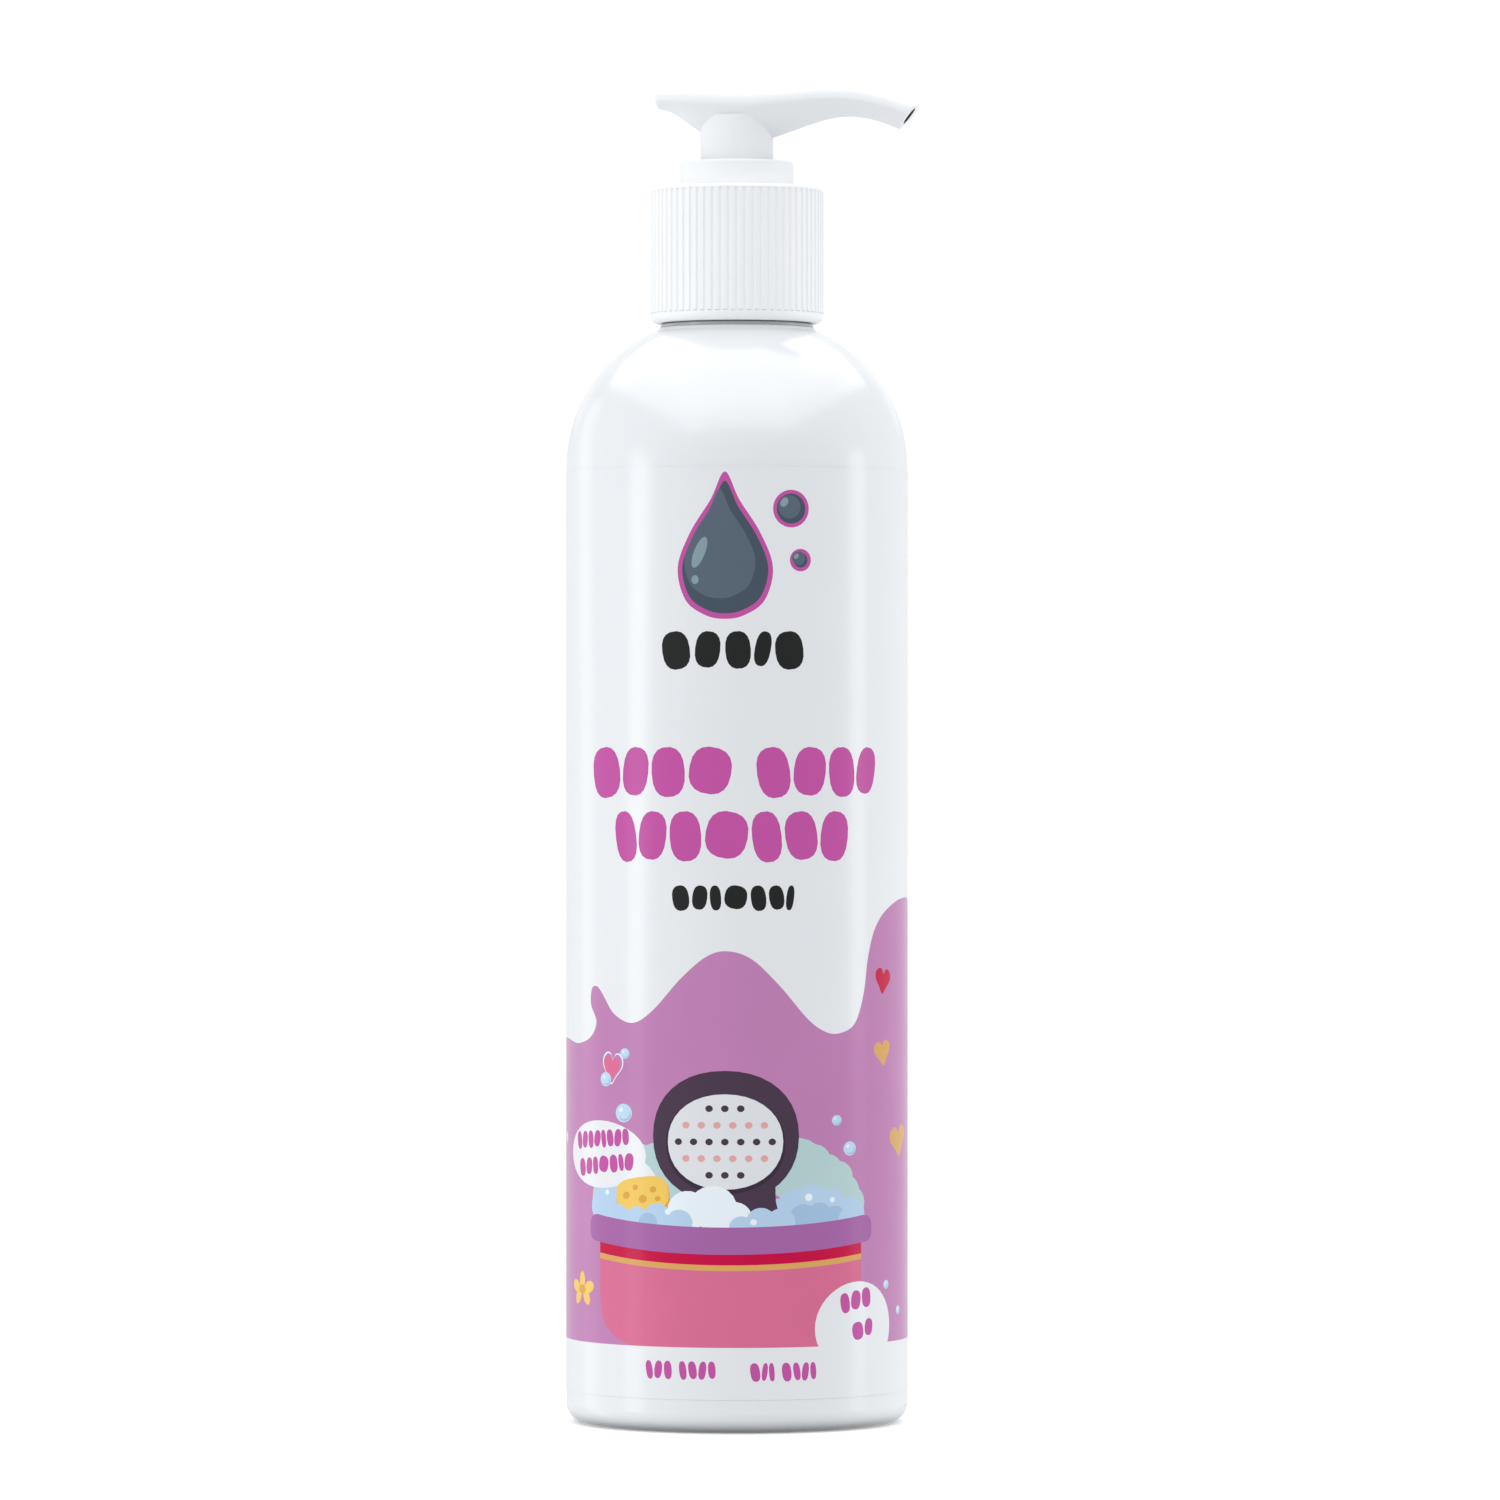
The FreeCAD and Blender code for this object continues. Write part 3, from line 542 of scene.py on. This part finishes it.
# foam in front
puffs("bubble_light", (-6.6, 29.6, 2.6), (-3.2, 30.0, 2.9), (-0.4, 28.6, 2.2))
puffs(
    "foam_blue",
    (-20.0, 28.4, 1.6), (-17.4, 28.4, 1.8), (-14.2, 28.4, 1.6), (-11.0, 28.6, 1.9), (-7.8, 28.0, 1.7),
)
puffs("foam_deep", (9.0, 28.6, 1.8), (11.4, 28.9, 1.7), (13.8, 28.5, 1.6), (-12.4, 27.9, 1.3))
puffs("foam_blue", (0.6, 27.4, 1.5), (3.2, 28.2, 1.8), (5.9, 28.1, 1.8), (16.0, 28.2, 1.5))
puffs(
    "bubble_light",
    (9.8, 31.3, 0.5), (13.4, 30.9, 0.35), (-9.4, 29.4, 0.4), (2.2, 28.1, 0.4), (-19.5, 31.7, 0.35),
)

# bath tub with two stripes under its rolled rim
TUB_LEFT, TUB_RIGHT, TUB_HEAD = -21.0, 18.4, 24.0
RIM_LEFT, RIM_RIGHT, RIM_HEAD, RIM_MIDDLE = -21.6, 18.8, 27.4, 26.9
put(
    "tub_pink",
    [
        *smooth([(TUB_LEFT, 18.0), (-20.4, 15.0), (-18.4, 12.8), (-14.8, WAVE_FOOT)], closed=False),
        (TUB_RIGHT, WAVE_FOOT),
        (TUB_RIGHT, TUB_HEAD),
        (TUB_LEFT, TUB_HEAD),
    ],
)
put("gold", band(TUB_LEFT, TUB_RIGHT, 22.5, thick=0.85, sag=1.2))
put("crimson", band(TUB_LEFT, TUB_RIGHT, 24.1, thick=1.7, sag=1.2))
put("purple", band(RIM_LEFT, RIM_RIGHT, RIM_HEAD, thick=3.6, sag=1.3))
for end in (RIM_LEFT, RIM_RIGHT):
    put("purple", oval(end, RIM_MIDDLE, 1.7, 1.8, sides=20, square=2.6))

# plain round badge
put("film_white", oval(17.8, 13.8, 7.1, 6.1, sides=44))
pebbles("magenta", 14.6, 20.4, 15.6, 18.3, (1, 1.1, 1.1), rise=0.9)
pebbles("magenta", 16.6, 20.8, 11.9, 14.3, (1.3, 1), rise=0.8)

# small flower
FLOWER_X, FLOWER_Y = -25.6, 18.5
PETALS = 5
PETAL_X, PETAL_Y = 2.0, 1.15
for i in range(PETALS):
    degrees = 90 + 360 / PETALS * i
    x = FLOWER_X + PETAL_X * math.cos(math.radians(degrees))
    y = FLOWER_Y + PETAL_Y * math.sin(math.radians(degrees))
    put("yellow", oval(x, y, 1.25, 0.8, tilt=degrees, sides=14))
put("amber", oval(FLOWER_X, FLOWER_Y, 1.0, 0.62, sides=12))

# emblem: one drop with two small bubbles
DROP = [
    (0.0, 19.3), (1.9, 15.6), (4.7, 11.2), (6.4, 6.6), (5.3, 2.3), (2.6, 0.3), (0, -0.2),
    (-2.6, 0.3), (-5.3, 2.3), (-6.4, 6.6), (-4.7, 11.2), (-1.9, 15.6),
]
DROP_X, DROP_Y = -1.6, 108.0
DROP_MIDDLE = 8.0


def drop(colour, scale, dx=0.0, dy=0.0):
    """The drop, scaled about its middle and moved a little."""
    outline = [(x * scale, DROP_MIDDLE + (y - DROP_MIDDLE) * scale) for x, y in DROP]
    put(colour, smooth([(DROP_X + x + dx, DROP_Y + y + dy) for x, y in outline], steps=6))


drop("magenta", 1.0)
drop("slate_dark", 0.9, 0.0, -0.1)
drop("slate", 0.74, -0.7, 0.6)
put("slate_light", oval(DROP_X - 3.4, DROP_Y + 8.6, 0.75, 2.2, tilt=-22, sides=18))
put("slate_light", oval(DROP_X - 4.0, DROP_Y + 5.0, 0.5, 0.6, sides=12))
for x, y, radius in ((7.3, 122.4, 2.5), (8.6, 115.6, 1.5)):
    put("magenta", oval(x, y, radius, radius, sides=26))
    put("slate_dark", oval(x, y, radius - 0.5, radius - 0.5, sides=24))
    put("slate", oval(x - 0.25, y + 0.25, radius * 0.62, radius * 0.62, sides=20))
    glint = (x - radius * 0.38, y + radius * 0.34)
    put("slate_light", oval(*glint, radius * 0.2, radius * 0.27, tilt=-35, sides=12))

# rows of pebbles where the print had words
pebbles("black", -10.6, 9.4, 101.1, 106.2, (1.1, 0.95, 0.95, 0.6, 1.1), gap=0.16)
pebbles("magenta", -22.8, -0.4, 84.1, 90.9, (1.25, 0.95, 1.1, 1.3), gap=0.1)
pebbles("magenta", 2.4, 21.4, 84.1, 90.9, (1.05, 1.1, 1.0, 0.85), gap=0.1)
pebbles("magenta", -18.0, 16.2, 75.6, 82.4, (0.85, 1.0, 1.05, 1.35, 0.95, 1.1, 1.05), gap=0.1)
pebbles("black", -9.0, 7.8, 69.2, 72.6, (1.1, 0.95, 0.7, 1.4, 0.95, 0.95, 0.5), gap=0.16)
pebbles("magenta", -12.8, -2.7, 7.2, 9.7, (0.9, 1, 1, 0, 0.9, 1, 0.9, 0.9), gap=0.2)
pebbles("magenta", 1.6, 11.0, 7.0, 9.5, (1.2, 0.7, 0.7, 0, 1.2, 0.9, 0.9, 0.8), gap=0.2)

# ---------------------------------------------------------------- the film that carries the drawing
# The outlines and a grid that follows the curve of the wall are joined into one flat net of
# triangles, each takes the colour drawn last over its middle, and the net is wrapped round the body.
GRID_COLUMNS, GRID_ROWS = 104, 84
CLOSEST_POINTS = 1e-4
points, faces = [], []
for _, line in drawing:
    start = len(points)
    points.extend(Vector(p) for p in line)
    faces.append(list(range(start, start + len(line))))
for i in range(GRID_COLUMNS + 1):
    across = HALF_TURN * (2 * i / GRID_COLUMNS - 1)
    for j in range(GRID_ROWS + 1):
        points.append(Vector((across, FILM_FOOT + (FILM_HEAD - FILM_FOOT) * j / GRID_ROWS)))
flat, _, triangles, _, _, _ = delaunay_2d_cdt(points, [], faces, 0, CLOSEST_POINTS)
extents = [
    (min(x for x, _ in line), max(x for x, _ in line), min(y for _, y in line), max(y for _, y in line))
    for _, line in drawing
]


def holds(line, x, y):
    """True when the point is inside the outline."""
    crossings = 0
    for (ax, ay), (bx, by) in zip(line, line[1:] + line[:1]):
        if (ay > y) != (by > y) and x < ax + (y - ay) * (bx - ax) / (by - ay):
            crossings += 1
    return crossings % 2 == 1


def topmost(corners):
    """The colour of the last outline that covers a triangle's middle, or None outside the film."""
    x = sum(flat[i].x for i in corners) / 3
    y = sum(flat[i].y for i in corners) / 3
    for (colour, line), (left, right, low, high) in zip(reversed(drawing), reversed(extents)):
        if left <= x <= right and low <= y <= high and holds(line, x, y):
            return colour
    return None


def wrapped(point, radius):
    """The place on the body, in metres, of a point of the flat drawing."""
    angle = point[0] / FILM_R
    return (radius * math.sin(angle) * MM, -radius * math.cos(angle) * MM, point[1] * MM)


count = len(flat)
painted = [(tuple(corners), topmost(corners)) for corners in triangles]
painted = [(corners, colour) for corners, colour in painted if colour]
borders = {}  # kept in order, so that the mesh comes out the same each run
for corners, _ in painted:
    for a, b in zip(corners, corners[1:] + corners[:1]):
        borders[(a, b)] = True
outer_borders = [(a, b) for a, b in borders if (b, a) not in borders]
vertices = [wrapped(p, FILM_R) for p in flat] + [wrapped(p, FILM_IN_R) for p in flat]
polygons = [corners for corners, _ in painted]
polygons += [tuple(i + count for i in reversed(corners)) for corners, _ in painted]
polygons += [(b, a, a + count, b + count) for a, b in outer_borders]
film_mesh = bpy.data.meshes.new("wrap_film")
film_mesh.from_pydata(vertices, [], polygons)
for name, colour in COLOURS.items():
    plain = name == "film_white"
    film_mesh.materials.append(
        glossy_white("print_film_white") if plain else printed("print_" + name, colour)
    )
colour_numbers = {name: number for number, name in enumerate(COLOURS)}
for polygon, (_, colour) in zip(film_mesh.polygons, painted):
    polygon.material_index = colour_numbers[colour]
film_mesh.validate()
for polygon in film_mesh.polygons:
    polygon.use_smooth = True
normals = []
for vertex in film_mesh.vertices:
    radial = Vector((vertex.co.x, vertex.co.y, 0)).normalized()
    normals.append(radial if vertex.index < count else -radial)
film_mesh.normals_split_custom_set_from_vertices(normals)
film = bpy.data.objects.new("wrap_film", film_mesh)
scene.collection.objects.link(film)
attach(film, "bottle")
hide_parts("wrap_label")

# ---------------------------------------------------------------- return spring
spring_low, spring_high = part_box("return_spring")
WIRE_R = 0.0004
SPRING_R = spring_high.y - WIRE_R
TURNS, PER_TURN, AROUND = 8, 28, 10
spring_points, spring_faces = [], []
rise = spring_high.z - spring_low.z - 2 * WIRE_R
for i in range(TURNS * PER_TURN + 1):
    turn = i / PER_TURN
    angle = 2 * math.pi * turn
    outward = Vector((math.cos(angle), math.sin(angle), 0))
    middle = outward * SPRING_R + Vector((0, 0, spring_low.z + WIRE_R + rise * turn / TURNS))
    for k in range(AROUND):
        lean = 2 * math.pi * k / AROUND
        upward = Vector((0, 0, WIRE_R * math.sin(lean)))
        spring_points.append(middle + outward * WIRE_R * math.cos(lean) + upward)
    if i:
        base = i * AROUND
        for k in range(AROUND):
            after = (k + 1) % AROUND
            spring_faces.append((base + k, base + after, base - AROUND + after, base - AROUND + k))
spring_faces.append(tuple(range(AROUND)))
spring_faces.append(tuple(reversed(range(len(spring_points) - AROUND, len(spring_points)))))
spring_mesh = bpy.data.meshes.new("spring_wire")
spring_mesh.from_pydata(spring_points, [], spring_faces)
for polygon in spring_mesh.polygons:
    polygon.use_smooth = len(polygon.vertices) == 4
spring_mesh.materials.append(
    surface("spring_steel", (0.56, 0.56, 0.57), roughness=0.26, metallic=1.0, variation=0.06, grain=3200)
)
spring = bpy.data.objects.new("spring_wire", spring_mesh)
scene.collection.objects.link(spring)
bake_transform(spring)
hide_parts("return_spring")

# ---------------------------------------------------------------- floor and backdrop
FLOOR_R = 7
BACKDROP_R = 8
FLOOR_GLOW = 0.4
BACKDROP_GLOW = 1.05
CARD_R = 0.0235
CARD_DROP = 0.00002


def hide_from(piece, *rays):
    for kind in rays:
        setattr(piece, "visible_" + kind, False)


bpy.ops.mesh.primitive_circle_add(vertices=96, radius=FLOOR_R, fill_type="NGON")
floor = bpy.context.object
floor.name = "floor"
hide_from(floor, "diffuse", "glossy")
floor_finish = surface(
    "floor_paint", (0.85, 0.85, 0.85), roughness=0.9, variation=0.004, blotch=3, bump=0.0, specular=0.0
)
floor_shader = floor_finish.node_tree.nodes["Principled BSDF"]
floor_shader.inputs["Emission Color"].default_value = (1, 1, 1, 1)
floor_shader.inputs["Emission Strength"].default_value = FLOOR_GLOW
floor.data.materials.append(floor_finish)

bpy.ops.mesh.primitive_uv_sphere_add(segments=48, ring_count=24, radius=BACKDROP_R)
backdrop = bpy.context.object
backdrop.name = "backdrop"
hide_from(backdrop, "diffuse", "glossy", "transmission", "shadow")
backdrop_white = bpy.data.materials.new("backdrop_white")
backdrop_white.use_nodes = True
backdrop_white.node_tree.nodes.clear()
backdrop_glow = backdrop_white.node_tree.nodes.new("ShaderNodeEmission")
backdrop_glow.inputs["Strength"].default_value = BACKDROP_GLOW
backdrop_out = backdrop_white.node_tree.nodes.new("ShaderNodeOutputMaterial")
backdrop_white.node_tree.links.new(backdrop_glow.outputs["Emission"], backdrop_out.inputs["Surface"])
backdrop.data.materials.append(backdrop_white)

# painted shade: a black card under the foot, met only by light bounced off the bottle, stands in for the
# floor's shadow and darkens the line of contact
bpy.ops.mesh.primitive_circle_add(
    vertices=96, radius=CARD_R, fill_type="NGON", location=(0, 0, -CARD_DROP)
)
card = bpy.context.object
card.name = "contact_shade_card"
hide_from(card, "camera", "glossy", "transmission", "shadow")
card.data.materials.append(surface("contact_shade_black", (0.01, 0.01, 0.01), roughness=0.9, bump=0.0))

# ---------------------------------------------------------------- light all round
# A white tent: bright round the sides, dimmer behind, overhead, underneath and low down near the
# camera. The dim front is turned a little to the right of the camera.
SIDE_GLOW = 1.5
LEFT_GLOW = 0.05
FRONT_DIP = 0.86
FRONT_DIP_HEIGHT = 0.55
FRONT_DIP_LEFT_OVERHEAD = 0.03
BACK_DIP = 0.59
OVERHEAD_DIP = 0.5
UNDER_DIP = 0.36
DIP_AZIMUTH = math.radians(15.7)
SKY_COLOUR = (0.97, 0.985, 1.0, 1)

world = bpy.data.worlds.new("studio")
scene.world = world
world.use_nodes = True
sky = world.node_tree.nodes
sky_links = world.node_tree.links


def ramp(source, start, end, low, high):
    """A value that goes from low to high as the source goes from start to end."""
    node = sky.new("ShaderNodeMapRange")
    for name, value in (("From Min", start), ("From Max", end), ("To Min", low), ("To Max", high)):
        node.inputs[name].default_value = value
    sky_links.new(source, node.inputs["Value"])
    return node.outputs["Result"]


def combine(operation, first, second):
    node = sky.new("ShaderNodeMath")
    node.operation = operation
    sky_links.new(first, node.inputs[0])
    sky_links.new(second, node.inputs[1])
    return node.outputs["Value"]


direction = sky.new("ShaderNodeTexCoord").outputs["Generated"]
split = sky.new("ShaderNodeSeparateXYZ")
sky_links.new(direction, split.inputs["Vector"])
rightward, upward = split.outputs["X"], split.outputs["Z"]
facing = sky.new("ShaderNodeVectorMath")
facing.operation = "DOT_PRODUCT"
facing.inputs[1].default_value = (math.sin(DIP_AZIMUTH), -math.cos(DIP_AZIMUTH), 0)
sky_links.new(direction, facing.inputs[0])
towards_front = facing.outputs["Value"]
front = combine(
    "MULTIPLY",
    ramp(towards_front, 0, 1, 0, FRONT_DIP),
    ramp(upward, 0, FRONT_DIP_HEIGHT, 1, FRONT_DIP_LEFT_OVERHEAD),
)
glow = combine("SUBTRACT", ramp(towards_front, -1, 0, SIDE_GLOW - BACK_DIP, SIDE_GLOW), front)
glow = combine("SUBTRACT", glow, ramp(upward, 0, 1, 0, OVERHEAD_DIP))
glow = combine("ADD", glow, ramp(rightward, -1, 0, LEFT_GLOW, 0))
glow = combine("SUBTRACT", glow, ramp(upward, -1, 0, UNDER_DIP, 0))
sky["Background"].inputs["Color"].default_value = SKY_COLOUR
sky_links.new(glow, sky["Background"].inputs["Strength"])


# ---------------------------------------------------------------- softboxes
def softbox(name, place, size_x, size_y, radiance):
    """A soft light that points down and is seen only as gloss on the object."""
    light = bpy.data.lights.new(name, "AREA")
    light.shape = "RECTANGLE"
    light.size, light.size_y = size_x, size_y
    light.energy = math.pi * size_x * size_y * radiance
    lamp = bpy.data.objects.new(name, light)
    scene.collection.objects.link(lamp)
    lamp.location = place
    hide_from(lamp, "camera", "diffuse")
    return lamp


def standing_softbox(name, azimuth, distance, middle_z, size_x, size_y, radiance):
    """A softbox facing the bottle, azimuth degrees round from the camera, positive to the right.

    It is turned up the shortest way, so beside the bottle its own x is the side that is nearly upright.
    """
    angle = math.radians(azimuth)
    place = Vector((distance * math.sin(angle), -distance * math.cos(angle), middle_z))
    lamp = softbox(name, place, size_x, size_y, radiance)
    aim = Vector((0, 0, middle_z)) - place
    lamp.rotation_euler = aim.to_track_quat("-Z", "Z").to_euler()


STRIP_DISTANCE = 0.9
STRIP_Z = 0.055
STRIP_WIDE = 0.22
standing_softbox("left_strip", -70, STRIP_DISTANCE, STRIP_Z, 0.44, STRIP_WIDE, 2.8)
standing_softbox("right_strip", 88, STRIP_DISTANCE, STRIP_Z, 0.44, STRIP_WIDE, 2.1)
standing_softbox("left_rim", -119, STRIP_DISTANCE, STRIP_Z, 1.08, STRIP_WIDE, 0.7)
OVERHEAD_PLACE = (0, -0.2, 1.0)
softbox("overhead_core", OVERHEAD_PLACE, 1.4, 1.5, 2.9)
softbox("overhead_wide", OVERHEAD_PLACE, 2.2, 2.8, 2.0)
standing_softbox("rear", 180, 1.0, 0.93, 1.2, 1.3, 0.28)

# ---------------------------------------------------------------- camera
CAMERA_DISTANCE = 1.106
CAMERA_HEIGHT = 0.0885
camera_data = bpy.data.cameras.new("camera")
camera_data.lens = 196.8
camera_data.sensor_width = 36
camera_data.shift_x = 0.0087
camera_data.shift_y = 0.01
camera = bpy.data.objects.new("camera", camera_data)
camera.location = (0, -CAMERA_DISTANCE, CAMERA_HEIGHT)
camera.rotation_euler = (math.radians(90), 0, 0)
scene.collection.objects.link(camera)
scene.camera = camera
scene.view_settings.view_transform = "Standard"

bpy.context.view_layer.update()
